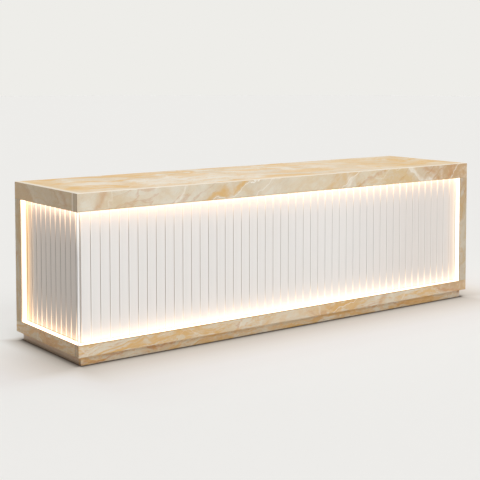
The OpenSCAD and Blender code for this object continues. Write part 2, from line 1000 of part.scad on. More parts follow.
module drawer_1_front() { drawer_front(1); }
module drawer_1_box() { drawer_box(1); }
module drawer_1_knob() { drawer_knob(1); }
module drawer_1_inner_members() { drawer_inner_members(1); }
module drawer_1_middle_members() { drawer_middle_members(1); }

module drawer_2_front() { drawer_front(2); }
module drawer_2_box() { drawer_box(2); }
module drawer_2_knob() { drawer_knob(2); }
module drawer_2_inner_members() { drawer_inner_members(2); }
module drawer_2_middle_members() { drawer_middle_members(2); }

module drawer_3_front() { drawer_front(3); }
module drawer_3_box() { drawer_box(3); }
module drawer_3_knob() { drawer_knob(3); }
module drawer_3_inner_members() { drawer_inner_members(3); }
module drawer_3_middle_members() { drawer_middle_members(3); }

stone_top_panel();
top_fascia_front();
top_fascia_right();
top_fascia_rear();
top_fascia_left();
right_post();
left_post();
right_end_panel();
base_board_front();
base_board_right();
base_board_rear();
base_board_left();
plinth_front();
plinth_rear();
plinth_ends();
ribbed_panel_front_left();
ribbed_panel_front_right();
ribbed_panel_left_end();
corner_bar();
led_channel_top();
led_channel_base();
led_channel_posts();
led_diffuser_top();
led_diffuser_base();
led_diffuser_posts();
led_strips();
led_driver();
levelling_feet();
base_bearers();
cabinet_floor();
front_backer();
side_boards();
dividers();
cabinet_top();
top_bearers();
top_substrate();
shelves();
shelf_supports();
door_pivots();
left_door();
right_door();
left_door_knob();
right_door_knob();
slide_fixed_members();
drawer_1_front();
drawer_1_box();
drawer_1_knob();
drawer_1_inner_members();
drawer_1_middle_members();
drawer_2_front();
drawer_2_box();
drawer_2_knob();
drawer_2_inner_members();
drawer_2_middle_members();
drawer_3_front();
drawer_3_box();
drawer_3_knob();
drawer_3_inner_members();
drawer_3_middle_members();
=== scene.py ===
"""Reception desk in cream stone with a lit recess round a white ribbed wall: finishes, light and camera."""

import json
import math
from collections import namedtuple

import bmesh
import bpy
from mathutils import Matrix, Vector


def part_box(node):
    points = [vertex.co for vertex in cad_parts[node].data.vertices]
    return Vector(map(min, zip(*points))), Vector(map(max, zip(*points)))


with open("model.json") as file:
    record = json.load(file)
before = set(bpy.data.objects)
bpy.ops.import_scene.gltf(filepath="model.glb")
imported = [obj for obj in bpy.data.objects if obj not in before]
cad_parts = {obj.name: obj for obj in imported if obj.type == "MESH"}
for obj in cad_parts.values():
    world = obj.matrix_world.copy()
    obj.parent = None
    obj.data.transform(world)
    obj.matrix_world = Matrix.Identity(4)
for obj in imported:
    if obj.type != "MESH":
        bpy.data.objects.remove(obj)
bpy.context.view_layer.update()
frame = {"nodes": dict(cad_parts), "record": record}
nodes = frame["nodes"]

# Places on the desk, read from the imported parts

FASCIA_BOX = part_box("top_fascia_front")
BASE_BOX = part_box("base_board_front")
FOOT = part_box("plinth_ends")[1]
LEFT_FACE, FRONT_FACE, FASCIA_LOW = FASCIA_BOX[0]
REAR_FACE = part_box("top_fascia_rear")[1].y
BASE_HIGH = BASE_BOX[1].z
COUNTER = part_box("stone_top_panel")[1].z
BOARD = FASCIA_BOX[1].y - FRONT_FACE
POST_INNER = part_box("right_post")[0].x
LEFT_POST_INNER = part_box("left_post")[0].y
FASCIA_MIDDLE = (FASCIA_LOW + FASCIA_BOX[1].z) / 2
BASE_MIDDLE = (BASE_BOX[0].z + BASE_HIGH) / 2
PLINTH_MIDDLE = FOOT.z / 2

# Camera

# Place of the lens on the desk's own axes in metres, and the way it looks
LENS_PLACE = (-4.996, -6.519, 1.900)
LENS_HEADING = math.radians(36.88)
LENS_DIP = math.radians(3.63)
LENS_MM, FILM_MM = 82.35, 36
SHIFT = (-0.0189, -0.22)
SIGHT = 200


def place_camera():
    """The photograph's viewpoint, with the vertical shift that its upright edges call for."""
    lens = bpy.data.cameras.new("counter_view")
    lens.sensor_width = FILM_MM
    lens.lens = LENS_MM
    lens.shift_x, lens.shift_y = SHIFT
    lens.clip_end = SIGHT
    camera = bpy.data.objects.new("counter_view", lens)
    camera.location = LENS_PLACE
    camera.rotation_euler = (math.pi / 2 - LENS_DIP, 0, -LENS_HEADING)
    bpy.context.scene.collection.objects.link(camera)
    bpy.context.scene.camera = camera


# Node helpers

VECTOR, NUMBER, COLOUR = "NodeSocketVector", "NodeSocketFloat", "NodeSocketColor"
SKIN = [("Color", COLOUR), ("Roughness", NUMBER), ("Height", NUMBER)]
WHITE = (1, 1, 1, 1)
# The middle of a noise's colours, and the range that holds most of its values
NOISE_MIDDLE, NOISE_RANGE = (0.5, 0.5, 0.5), (0.3, 0.7)
# Sockets of a Mix node that mixes colours: its share, its two colours and its result
MIX_SHARE, MIX_FIRST, MIX_SECOND, MIX_RESULT = 0, 6, 7, 2


def fill(tree, socket, value):
    """Joins another node's output to a socket, or sets its value."""
    if isinstance(value, bpy.types.NodeSocket):
        tree.links.new(value, socket)
    else:
        socket.default_value = value


def node(tree, kind, inputs=None, **settings):
    """Adds a node, sets it up, and joins or fills its inputs."""
    made = tree.nodes.new(kind)
    for name, value in settings.items():
        setattr(made, name, value)
    for name, value in (inputs or {}).items():
        fill(tree, made.inputs[name], value)
    return made


def maths(tree, operation, first, second=0.0, clamp=False):
    """One arithmetic step; returns its output."""
    made = node(tree, "ShaderNodeMath", {0: first, 1: second}, operation=operation, use_clamp=clamp)
    return made.outputs[0]


def times(tree, *factors):
    """The product of several values."""
    product = factors[0]
    for factor in factors[1:]:
        product = maths(tree, "MULTIPLY", product, factor)
    return product


def minus(tree, first, second):
    """The first value less the second."""
    return maths(tree, "SUBTRACT", first, second)


def off_centre(tree, value, centre):
    """How far a value lies from a centre."""
    return maths(tree, "ABSOLUTE", minus(tree, value, centre))


def vectors(tree, operation, first, second=(0, 0, 0)):
    """One step on places; returns the new place."""
    return node(tree, "ShaderNodeVectorMath", {0: first, 1: second}, operation=operation).outputs[0]


def apart(tree, place):
    """The three coordinates of a place."""
    return node(tree, "ShaderNodeSeparateXYZ", {0: place}).outputs


def noise(tree, place, scale, detail=3.0, roughness=0.5, output="Fac"):
    """Fractal noise at a place."""
    found = {"Vector": place, "Scale": scale, "Detail": detail, "Roughness": roughness}
    return node(tree, "ShaderNodeTexNoise", found).outputs[output]


def band(tree, value, low, high, start=0.0, end=1.0):
    """Maps a value smoothly from low..high to start..end, and holds it outside."""
    found = {"Value": value, "From Min": low, "From Max": high, "To Min": start, "To Max": end}
    return node(tree, "ShaderNodeMapRange", found, interpolation_type="SMOOTHSTEP").outputs[0]


def fade(tree, value, near, far):
    """Whole up to near, and smoothly down to nothing at far."""
    return band(tree, value, near, far, 1.0, 0.0)


def line_at(tree, value, level, near, far):
    """A line where a value passes a level: whole up to near on each side, and gone at far."""
    return fade(tree, off_centre(tree, value, level), near, far)


def blend_colour(tree, amount, first, second, kind="MIX"):
    """Mixes two colours; returns the colour."""
    given = {MIX_SHARE: amount, MIX_FIRST: first, MIX_SECOND: second}
    return node(tree, "ShaderNodeMix", given, data_type="RGBA", blend_type=kind).outputs[MIX_RESULT]


def tinted(tree, first, second, amount=1.0):
    """One colour multiplied by another."""
    return blend_colour(tree, amount, first, second, "MULTIPLY")


def ramp(tree, value, stops):
    """A colour ramp through (position, colour) stops; returns the colour."""
    made = node(tree, "ShaderNodeValToRGB", {"Fac": value})
    elements = made.color_ramp.elements
    while len(elements) < len(stops):
        elements.new(0.5)
    for element, (position, colour) in zip(elements, stops):
        element.position = position
        element.color = colour
    return made.outputs[0]


def grey(tree, value):
    """A grey of the given value."""
    return node(tree, "ShaderNodeCombineColor", {0: value, 1: value, 2: value}).outputs[0]


def mapped(tree, place, move=(0, 0, 0), turn=(0, 0, 0), scale=(1, 1, 1)):
    """Moves, turns and stretches a pattern's place."""
    angles = tuple(math.radians(a) for a in turn)
    found = {"Vector": place, "Location": move, "Rotation": angles, "Scale": scale}
    return node(tree, "ShaderNodeMapping", found).outputs[0]


def swirled(tree, place, scale, reach):
    """Pushes a place about by noise, up to half the reach each way."""
    centred = vectors(tree, "SUBTRACT", noise(tree, place, scale, output="Color"), NOISE_MIDDLE)
    return vectors(tree, "ADD", place, vectors(tree, "MULTIPLY", centred, (reach, reach, reach)))


def group(name, inputs, outputs):
    """A shader node group with named sockets; returns the tree, its inputs and a function that ends it."""
    tree = bpy.data.node_groups.new(name, "ShaderNodeTree")
    for title, kind, value in inputs:
        socket = tree.interface.new_socket(title, in_out="INPUT", socket_type=kind)
        if value is not None:
            socket.default_value = value
    for title, kind in outputs:
        tree.interface.new_socket(title, in_out="OUTPUT", socket_type=kind)
    start = tree.nodes.new("NodeGroupInput")

    def finish(**results):
        end = tree.nodes.new("NodeGroupOutput")
        for title, value in results.items():
            tree.links.new(value, end.inputs[title])
        return tree

    return tree, start.outputs, finish


def use(tree, made_group, values):
    """Places a group in a material with its own values; returns the node's outputs."""
    return node(tree, "ShaderNodeGroup", values, node_tree=made_group).outputs


def new_material(name):
    """An empty material with its shader; returns the material, tree, shader and object place."""
    material = bpy.data.materials.new(name)
    material.use_nodes = True
    tree = material.node_tree
    shader = tree.nodes["Principled BSDF"]
    place = node(tree, "ShaderNodeTexCoord").outputs["Object"]
    return material, tree, shader, place


def dress(tree, shader, colour, roughness, height, bump, constants=None):
    """Joins or sets the shader's colour, roughness and bump, and sets its constants."""
    depth, strength = bump
    bumped = node(tree, "ShaderNodeBump", {"Height": height, "Distance": depth, "Strength": strength})
    fill(tree, shader.inputs["Base Color"], colour)
    fill(tree, shader.inputs["Roughness"], roughness)
    fill(tree, shader.inputs["Normal"], bumped.outputs[0])
    for title, value in (constants or {}).items():
        shader.inputs[title].default_value = value


# Stone

CREAM = (0.73, 0.635, 0.49, 1)
PALE_CREAM = (0.80, 0.735, 0.61, 1)
HONEY = (0.72, 0.52, 0.27, 1)
FLAME = (0.76, 0.50, 0.22, 1)
SOFT_FLAME = (0.78, 0.57, 0.33, 1)
GOLD = (0.74, 0.46, 0.17, 1)
TAN = (0.58, 0.37, 0.19, 1)
RUST = (0.56, 0.23, 0.06, 1)
CRYSTAL = (0.92, 0.87, 0.78, 1)
# Tones painted along some edges: the warm light of the strips and diffusers, highlights, and light at the
# plinth's foot
LIT_LINE = (0.50, 0.37, 0.20, 1)
EDGE_HIGHLIGHT = (0.93, 0.88, 0.78, 1)
PAINTED_FOOT_LIGHT = (0.95, 0.80, 0.66, 1)
SAWN_BROWN = (0.34, 0.23, 0.14, 1)
SAWN_SHADE = (0.74, 0.66, 0.56, 1)

# The stone's figure is read at places pushed about by noise: the scale and reach of each push
WIDE_SWIRL, SMALL_SWIRL = (1.2, 0.40), (6.0, 0.05)
# Ranges of noise over which each tone comes in, and over which the rust lines and the cracks do
PALE_RANGE, HONEY_RANGE, FLAME_RANGE = (0.38, 0.60), (0.50, 0.63), (0.49, 0.59)
RUST_RANGE, CRACK_RANGE = (0.48, 0.64), (0.46, 0.60)
# A line of the figure follows a level of noise: the level, and how near it the line is whole and gone
BROAD_STREAK, FINE_STREAK = (0.56, 0.0, 0.050), (0.50, 0.0, 0.035)
RUST_LINE, CRACK_LINE = (0.50, 0.0, 0.020), (0.47, 0.001, 0.009)
# Strength of the fine streaks beside the broad ones, and of both over the ground
FINE_SHARE, STREAK_SHARE = 0.7, 0.85
GRAIN_TONE = (0.965, 1.02)
POLISH_ROUGHNESS = (0.17, 0.27)
# Shares of the cloudy ground and of the cracks in the bump
CLOUD_RELIEF, CRACK_RELIEF = 0.6, 0.4

# A placed vein's pushes by noise, the fade of its stain across it, its patches, and its crack's half width
VEIN_SWIRL, VEIN_RUFFLE = (6.0, 0.16), (22.0, 0.035)
STAIN_FADE = (0.1, 1.0)
STAIN_PATCHES = (0.32, 0.62, 0.45, 1.0)
CRACK_HALF = (0.003, 0.009)


def stone_figure_group():
    """Cream stone: cloudy ground, lengthwise flames and gold streaks, rust lines and pale cracks."""
    tree, given, finish = group(
        "stone_figure",
        [
            ("Place", VECTOR, None),
            ("Cloud", NUMBER, 0.0),
            ("Flame", NUMBER, 0.0),
            ("Flame Tone", COLOUR, FLAME),
            ("Streak", NUMBER, 0.0),
            ("Rust", NUMBER, 0.0),
            ("Crack", NUMBER, 0.0),
        ],
        SKIN,
    )
    place = given["Place"]
    ruffled = swirled(tree, swirled(tree, place, *WIDE_SWIRL), *SMALL_SWIRL)

    # Cloudy ground with honey patches; here and below, a move only parts one noise from another
    mist = noise(tree, mapped(tree, ruffled, move=(3.1, 0.7, 1.9)), scale=4.0, detail=8, roughness=0.66)
    ground = blend_colour(tree, band(tree, mist, *PALE_RANGE), CREAM, PALE_CREAM)
    cloud = noise(tree, ruffled, scale=2.6, detail=8, roughness=0.62)
    honey = times(tree, band(tree, cloud, *HONEY_RANGE), given["Cloud"])
    ground = blend_colour(tree, honey, ground, HONEY)

    # Flames: honey patches drawn out along the length
    drawn = mapped(tree, ruffled, move=(1.3, 4.1, 2.2), scale=(0.65, 3.2, 3.2))
    lick = noise(tree, drawn, scale=3.4, detail=8, roughness=0.62)
    flame = times(tree, band(tree, lick, *FLAME_RANGE), given["Flame"])
    ground = blend_colour(tree, flame, ground, given["Flame Tone"])

    # Gold streaks along the length: a few broad, more of them fine
    along = mapped(tree, ruffled, scale=(0.45, 3.6, 3.6))
    broad = noise(tree, along, scale=1.6, detail=5, roughness=0.55)
    wide = line_at(tree, broad, *BROAD_STREAK)
    thin = noise(tree, mapped(tree, along, move=(5.2, 3.3, 1.1)), scale=4.4, detail=5, roughness=0.65)
    fine = line_at(tree, thin, *FINE_STREAK)
    gold = maths(tree, "MAXIMUM", wide, times(tree, fine, FINE_SHARE))
    gold = maths(tree, "MULTIPLY", times(tree, gold, given["Streak"]), STREAK_SHARE, clamp=True)
    coloured = blend_colour(tree, gold, ground, GOLD)

    # Rust lines in places
    winding = mapped(tree, ruffled, move=(7.3, 2.2, 4.6), scale=(0.5, 2.4, 2.4))
    vein = noise(tree, winding, scale=2.2, detail=5, roughness=0.55)
    hair = line_at(tree, vein, *RUST_LINE)
    patch = noise(tree, mapped(tree, place, move=(1.7, 5.2, 0.4)), scale=1.9, detail=2)
    rust = times(tree, hair, band(tree, patch, *RUST_RANGE), given["Rust"])
    coloured = blend_colour(tree, rust, coloured, RUST)

    # Pale crystal cracks, long thin lines that stop and start
    slant = mapped(tree, ruffled, move=(2.4, 1.3, 0.2), turn=(0, 35, 15), scale=(0.8, 1.0, 1.6))
    run = noise(tree, slant, scale=1.5, detail=4, roughness=0.42)
    crack = line_at(tree, run, *CRACK_LINE)
    broken = noise(tree, mapped(tree, place, move=(6.1, 0.3, 8.8)), scale=3.4, detail=3)
    crack = times(tree, crack, band(tree, broken, *CRACK_RANGE), given["Crack"])
    coloured = blend_colour(tree, crack, coloured, CRYSTAL)

    # Fine grain of the polished face
    grain = noise(tree, place, scale=160, detail=3, roughness=0.6)
    coloured = tinted(tree, coloured, grey(tree, band(tree, grain, *NOISE_RANGE, *GRAIN_TONE)))
    polish = band(tree, mist, *NOISE_RANGE, *POLISH_ROUGHNESS)
    height = minus(tree, times(tree, mist, CLOUD_RELIEF), times(tree, crack, CRACK_RELIEF))
    return finish(Color=coloured, Roughness=polish, Height=height)


def placed_vein_group():
    """One leaning vein across a board: a soft stain, and a crisp crack beside it."""
    tree, given, finish = group(
        "placed_vein",
        [
            ("Place", VECTOR, None),
            ("Along", NUMBER, 0.0),
            ("Level", NUMBER, 0.0),
            ("Lean", NUMBER, 1.0),
            ("Half Width", NUMBER, 0.03),
            ("Crack Offset", NUMBER, 0.02),
        ],
        [("Stain", NUMBER), ("Crack", NUMBER)],
    )
    axes = apart(tree, swirled(tree, swirled(tree, given["Place"], *VEIN_SWIRL), *VEIN_RUFFLE))
    rise = times(tree, minus(tree, axes[2], given["Level"]), given["Lean"])
    across = minus(tree, minus(tree, axes[0], given["Along"]), rise)
    away = maths(tree, "DIVIDE", maths(tree, "ABSOLUTE", across), given["Half Width"])
    patchy = noise(tree, given["Place"], scale=16, detail=4, roughness=0.6)
    stain = times(tree, fade(tree, away, *STAIN_FADE), band(tree, patchy, *STAIN_PATCHES))
    crack = line_at(tree, across, given["Crack Offset"], *CRACK_HALF)
    return finish(Stain=stain, Crack=crack)


STONE_FIGURE = stone_figure_group()
PLACED_VEIN = placed_vein_group()

# A vein's place along its board, lean, half width and crack offset in metres; its tone, and two strengths
Vein = namedtuple("Vein", "along lean half_width crack_offset tone stained cracked")
FRONT_VEINS = (
    Vein(0.20, 0.6, 0.500, 0.90, HONEY, 0.45, 0.00),
    Vein(0.95, -0.6, 0.450, 0.90, HONEY, 0.75, 0.00),
    Vein(1.62, 0.4, 0.560, 0.90, TAN, 1.00, 0.00),
    Vein(-1.61, 0.7, 0.045, 0.06, RUST, 0.40, 0.25),
    Vein(-1.02, 0.9, 0.030, 0.00, CRYSTAL, 0.45, 0.40),
    Vein(-0.62, 2.6, 0.095, 0.08, GOLD, 0.90, 0.95),
    Vein(-0.30, 2.0, 0.020, 0.00, CRYSTAL, 0.30, 0.60),
    Vein(0.40, 1.1, 0.110, 0.07, GOLD, 0.55, 0.75),
    Vein(0.74, 2.6, 0.060, 0.10, RUST, 0.45, 0.30),
    Vein(1.24, -1.6, 0.055, -0.02, CRYSTAL, 0.75, 0.40),
    Vein(1.36, -1.2, 0.035, 0.05, RUST, 0.35, 0.00),
    Vein(1.60, 1.2, 0.050, 0.05, RUST, 0.45, 0.50),
)
LEFT_VEINS = (
    Vein(-0.26, 0.5, 0.060, 0.30, RUST, 0.40, 0.00),
    Vein(0.16, 1.2, 0.045, 0.03, CRYSTAL, 0.35, 0.30),
)
TOP_VEINS = (
    Vein(1.30, 0.0, 0.900, 2.00, HONEY, 0.45, 0.00),
    Vein(-1.70, 0.0, 0.350, 2.00, HONEY, 0.30, 0.00),
)
BASE_VEINS = (
    Vein(1.74, -2.0, 0.420, 0.90, TAN, 0.90, 0.00),
    Vein(-1.25, 8.0, 0.140, 0.30, GOLD, 0.85, 0.50),
    Vein(-0.80, -3.0, 0.090, -0.10, GOLD, 0.80, 0.40),
    Vein(-0.02, 1.0, 0.420, 0.90, PALE_CREAM, 0.75, 0.00),
    Vein(-0.42, 5.0, 0.080, 0.20, GOLD, 0.40, 0.20),
    Vein(0.42, 2.5, 0.070, 0.07, GOLD, 0.85, 0.85),
    Vein(0.86, 1.0, 0.060, 0.20, RUST, 0.40, 0.30),
    Vein(1.52, -3.5, 0.080, -0.12, RUST, 0.50, 0.50),
)
PLINTH_VEINS = (
    Vein(-1.50, 10.0, 0.140, 0.30, RUST, 0.60, 0.30),
    Vein(-0.60, 6.0, 0.120, 0.30, GOLD, 0.50, 0.20),
    Vein(0.55, 7.0, 0.140, -0.30, GOLD, 0.60, 0.20),
    Vein(1.10, -8.0, 0.120, 0.30, RUST, 0.45, 0.30),
)
# Turns a place so that a board that runs from front to rear is read along its own length
END_TURN = (0, 0, -90)

# A line along one edge of a board: axis, place, way inward, reach, tone and strength
Edge = namedtuple("Edge", "axis at inward reach tone strength")
# Painted warm light of the light strips along the board edges beside them
UNDER_EDGE = Edge(2, FASCIA_LOW, 1, 0.010, LIT_LINE, 0.6)
BASE_EDGE = Edge(2, BASE_HIGH, -1, 0.012, LIT_LINE, 0.7)
# Painted highlights along the top's front and left arrises, and a fainter one behind the left joint
TOP_FRONT_EDGE = Edge(1, FRONT_FACE, 1, 0.060, EDGE_HIGHLIGHT, 0.8)
TOP_LEFT_EDGE = Edge(0, LEFT_FACE, 1, 0.060, EDGE_HIGHLIGHT, 0.8)
JOINT_EDGE = Edge(1, FRONT_FACE + BOARD, 1, 0.030, EDGE_HIGHLIGHT, 0.35)
# Painted light, lighter towards the foot of the plinth ends
LIT_FOOT_EDGE = Edge(2, 0.0, 1, 0.060, PAINTED_FOOT_LIGHT, 0.85)
# Painted warm light of the post diffusers along the posts' edges beside them
RIGHT_POST_EDGE = Edge(0, POST_INNER, 1, 0.010, LIT_LINE, 0.8)
LEFT_POST_EDGE = Edge(1, LEFT_POST_INNER, 1, 0.010, LIT_LINE, 0.8)
# Share of its reach over which an edge line is whole
EDGE_CORE = 0.25

# The sawn end of a front board: depth of its skin, reach and strength of the dark lines at its two sides
END_SKIN = (0.0004, 0.0016)
SAWN_LINE = (0.003, 0.012)
SAWN_STRENGTH = 0.5

# Depth and strength of the bump
POLISH_BUMP = (0.0006, 0.25)
STONE_IOR = 1.52


def veined(tree, place, coloured, veins, level):
    """Lays veins over a board's colour; returns the colour."""
    for vein in veins:
        shape = {
            "Place": place,
            "Along": vein.along,
            "Level": level,
            "Lean": vein.lean,
            "Half Width": vein.half_width,
            "Crack Offset": vein.crack_offset,
        }
        mark = use(tree, PLACED_VEIN, shape)
        coloured = blend_colour(tree, times(tree, mark["Stain"], vein.stained), coloured, vein.tone)
        coloured = blend_colour(tree, times(tree, mark["Crack"], vein.cracked), coloured, CRYSTAL)
    return coloured


def edged(tree, axes, coloured, edges):
    """Draws a line of another tone along some edges; returns the colour."""
    for edge in edges:
        depth = times(tree, minus(tree, axes[edge.axis], edge.at), edge.inward)
        near = fade(tree, depth, EDGE_CORE * edge.reach, edge.reach)
        coloured = blend_colour(tree, times(tree, near, edge.strength), coloured, edge.tone)
    return coloured


def sawn_end(tree, axes, coloured):
    """Darkens the sawn end of a front board, with a line at its arris and its joint; returns the colour."""
    on_end = fade(tree, minus(tree, axes[0], LEFT_FACE), *END_SKIN)
    across = maths(tree, "PINGPONG", minus(tree, axes[1], FRONT_FACE), BOARD / 2)
    line = times(tree, fade(tree, across, *SAWN_LINE), on_end, SAWN_STRENGTH)
    return blend_colour(tree, line, tinted(tree, coloured, SAWN_SHADE, on_end), SAWN_BROWN)


def stone(
    name,
    move,
    turn,
    grown=(1, 1, 1),
    richer=None,
    flame_tone=FLAME,
    veins=(),
    level=0.0,
    vein_turn=(0, 0, 0),
    tint=WHITE,
    edges=(),
    sawn=False,
    shine=0.5,
    **amounts,
):
    """One cut of the stone: its part of the block, how it was sawn, and how much of each figure it shows."""
    material, tree, shader, place = new_material(name)
    axes = apart(tree, place)
    if richer:
        # The figure grows stronger along the board
        start, end, gain = richer
        growth = band(tree, axes[0], start, end, 1.0, gain)
        amounts = {
            title: maths(tree, "MULTIPLY", growth, amount, clamp=True)
            for title, amount in amounts.items()
        }
    figured = mapped(tree, place, move, turn, grown)
    found = use(tree, STONE_FIGURE, {"Place": figured, "Flame Tone": flame_tone, **amounts})
    coloured = veined(tree, mapped(tree, place, turn=vein_turn), found["Color"], veins, level)
    coloured = edged(tree, axes, tinted(tree, coloured, tint), edges)
    if sawn:
        coloured = sawn_end(tree, axes, coloured)
    gloss = {"IOR": STONE_IOR, "Specular IOR Level": shine}
    dress(tree, shader, coloured, found["Roughness"], found["Height"], POLISH_BUMP, gloss)
    return material


# Lacquer, laminate and plastic

SKIN_TONE, PEEL_SCALE = 0.03, 240.0
# The range of noise for the skin's clouds and smears, and what the smears add to the roughness
SKIN_RANGE, SMEAR_ROUGHNESS = (0.3, 0.75), (-0.015, 0.02)
PEEL_BUMP = (0.00008, 0.4)
# Reach of the light strips' glow over the corner bar
BAR_REACH = 0.30


def skin_group():
    """A sprayed or moulded skin: slight tone change, orange peel and dull patches."""
    tree, given, finish = group(
        "coating_skin",
        [
            ("Place", VECTOR, None),
            ("Colour", COLOUR, (0.8, 0.8, 0.8, 1)),
            ("Tone", NUMBER, SKIN_TONE),
            ("Peel Scale", NUMBER, PEEL_SCALE),
            ("Roughness", NUMBER, 0.35),
        ],
        SKIN,
    )
    cloud = noise(tree, given["Place"], scale=2.6, detail=4, roughness=0.55)
    tone = minus(tree, 1.0, times(tree, band(tree, cloud, *SKIN_RANGE), given["Tone"]))
    colour = tinted(tree, given["Colour"], grey(tree, tone))
    peel = noise(tree, given["Place"], given["Peel Scale"], detail=2)
    smear = noise(tree, given["Place"], scale=60, detail=3)
    rough = maths(tree, "ADD", given["Roughness"], band(tree, smear, *SKIN_RANGE, *SMEAR_ROUGHNESS))
    return finish(Color=colour, Roughness=rough, Height=peel)


COATING_SKIN = skin_group()


def to_strip(tree, height):
    """Distance to the nearer light strip, above or below."""
    return maths(tree, "MINIMUM", minus(tree, height, BASE_HIGH), minus(tree, FASCIA_LOW, height))


def coated(name, colour, rough, tone=SKIN_TONE, peel=PEEL_SCALE, strip_glow=None):
    """A coated or moulded finish, which may take up the glow of the light strips."""
    material, tree, shader, place = new_material(name)
    if strip_glow:
        near = fade(tree, to_strip(tree, apart(tree, place)[2]), 0.0, BAR_REACH)
        fill(tree, shader.inputs["Emission Color"], tinted(tree, grey(tree, near), strip_glow))
        shader.inputs["Emission Strength"].default_value = 1.0
    values = {"Place": place, "Colour": colour, "Tone": tone, "Roughness": rough, "Peel Scale": peel}
    skin = use(tree, COATING_SKIN, values)
    dress(tree, shader, skin["Color"], skin["Roughness"], skin["Height"], PEEL_BUMP)
    return material


# Ribbed wall

# Wanted width of a rib, which is trimmed so that whole ribs fill the front
RIB_WIDTH = 0.070
FRONT_RUN_START, END_RUN_START = LEFT_FACE + BOARD, FRONT_FACE + BOARD
FRONT_RUN = POST_INNER - FRONT_RUN_START
RIB_PITCH = FRONT_RUN / round(FRONT_RUN / RIB_WIDTH)

# Distances from the middle of a groove: the edge of its shade, and the rise and fall of the lit arris
GROOVE_HALF = (0.0010, 0.0045)
ARRIS_RISE, ARRIS_FALL = (0.003, 0.006), (0.008, 0.016)
# Half width of the light in a groove at its tip, and what is added to it where the light leaves the strip
CLIMB_TIP, CLIMB_SPREAD = 0.001, 0.012
# The climbing light is whole up to the first share of its half width, and gone at the second
CLIMB_FADE = (0.2, 1.0)
# The grooves' shade starts and is full at these distances from a light strip
SHADE_CLEAR = (0.05, 0.24)
# Reach of the glow of a post's diffuser over the ribs, and of the bright line where they meet
POST_REACH, SEAM_REACH = 0.12, 0.040
# Powers by which the climbing light and the post's glow fall off
CLIMB_CURVE, POST_CURVE = 1.3, 1.5
LACQUER = {"Tone": 0.012, "Roughness": 0.34}

GROOVE_SHADE = (0.60, 0.46, 0.39, 1)
DEEP_SHADE = (0.30, 0.25, 0.22, 1)
ARRIS_WHITE = (0.93, 0.925, 0.92, 1)
CLIMBING_LIGHT = (1.0, 0.70, 0.44, 1)
POST_GLOW = (1.0, 0.44, 0.06, 1)


def groove_light_group():
    """The grooves' shade, the lit arris beside each, and the light that climbs them from the strips."""
    tree, given, finish = group(
        "groove_light",
        [("Along", NUMBER, 0.0), ("Height", NUMBER, 0.5), ("Start", NUMBER, 0.0), ("Reach", NUMBER, 0.17)],
        [("Shade", NUMBER), ("Arris", NUMBER), ("Climb", NUMBER)],
    )
    count = maths(tree, "DIVIDE", minus(tree, given["Along"], given["Start"]), RIB_PITCH)
    aside = times(tree, maths(tree, "PINGPONG", count, 0.5), RIB_PITCH)
    after = times(tree, maths(tree, "FRACT", count), RIB_PITCH)
    arris = times(tree, band(tree, after, *ARRIS_RISE), fade(tree, after, *ARRIS_FALL))
    nearest = to_strip(tree, given["Height"])
    left = maths(tree, "SUBTRACT", 1.0, maths(tree, "DIVIDE", nearest, given["Reach"]), clamp=True)
    half = maths(tree, "ADD", times(tree, left, CLIMB_SPREAD), CLIMB_TIP)
    inside = maths(tree, "DIVIDE", aside, half)
    climb = times(tree, fade(tree, inside, *CLIMB_FADE), maths(tree, "POWER", left, CLIMB_CURVE))
    shade = times(tree, fade(tree, aside, *GROOVE_HALF), band(tree, nearest, *SHADE_CLEAR))
    return finish(Shade=shade, Arris=arris, Climb=climb)


GROOVE_LIGHT = groove_light_group()


def share_along(tree, along, share):
    """A share that is the same all along, or that changes from one place to another."""
    return band(tree, along, *share) if isinstance(share, tuple) else share


def ribbed_lacquer(
    name,
    colour,
    axis,
    start,
    post,
    reach,
    climb,
    shade,
    post_light_tint,
    post_glow,
    seam_light,
    groove_tone=GROOVE_SHADE,
    arris=0.0,
    lift=0.0,
    dim=WHITE,
    dimmed=0.0,
):
    """White satin lacquer on ribs along one axis, with painted shade, highlights and glow from both ends and
    the post.
    """
    material, tree, shader, place = new_material(name)
    axes = apart(tree, place)
    along = axes[axis]
    skin = use(tree, COATING_SKIN, {"Place": place, "Colour": colour, **LACQUER})
    groove = use(tree, GROOVE_LIGHT, {"Along": along, "Height": axes[2], "Start": start, "Reach": reach})
    to_post = minus(tree, post, along)
    beside = fade(tree, to_post, 0.0, POST_REACH)
    seam = fade(tree, to_post, 0.0, SEAM_REACH)
    shaded = times(tree, groove["Shade"], share_along(tree, along, shade))
    # Painted shade: the lacquer darker towards the desk's right end, where a share is given
    painted = tinted(tree, skin["Color"], dim, share_along(tree, along, dimmed))
    # Painted warm light from the post's diffuser on the ribs beside it
    painted = tinted(tree, painted, post_light_tint, beside)
    # Painted highlight on the lit arris beside each groove
    painted = blend_colour(tree, times(tree, groove["Arris"], arris), painted, ARRIS_WHITE)
    painted = blend_colour(tree, shaded, painted, groove_tone)
    climbing = times(tree, groove["Climb"], share_along(tree, along, climb))
    fringe = times(tree, maths(tree, "POWER", beside, POST_CURVE), post_glow)
    # Painted light that lightens the grooves, growing towards the desk's right end where a share is given
    lifted = times(tree, groove["Shade"], share_along(tree, along, lift))
    glow = tinted(tree, grey(tree, climbing), CLIMBING_LIGHT)
    glow = blend_colour(tree, 1.0, glow, tinted(tree, grey(tree, fringe), POST_GLOW), "ADD")
    glow = blend_colour(tree, 1.0, glow, grey(tree, lifted), "ADD")
    glow = blend_colour(tree, seam, glow, seam_light, "ADD")
    fill(tree, shader.inputs["Emission Color"], glow)
    dress(tree, shader, painted, skin["Roughness"], skin["Height"], PEEL_BUMP, {"Emission Strength": 1.0})
    return material


# Timber

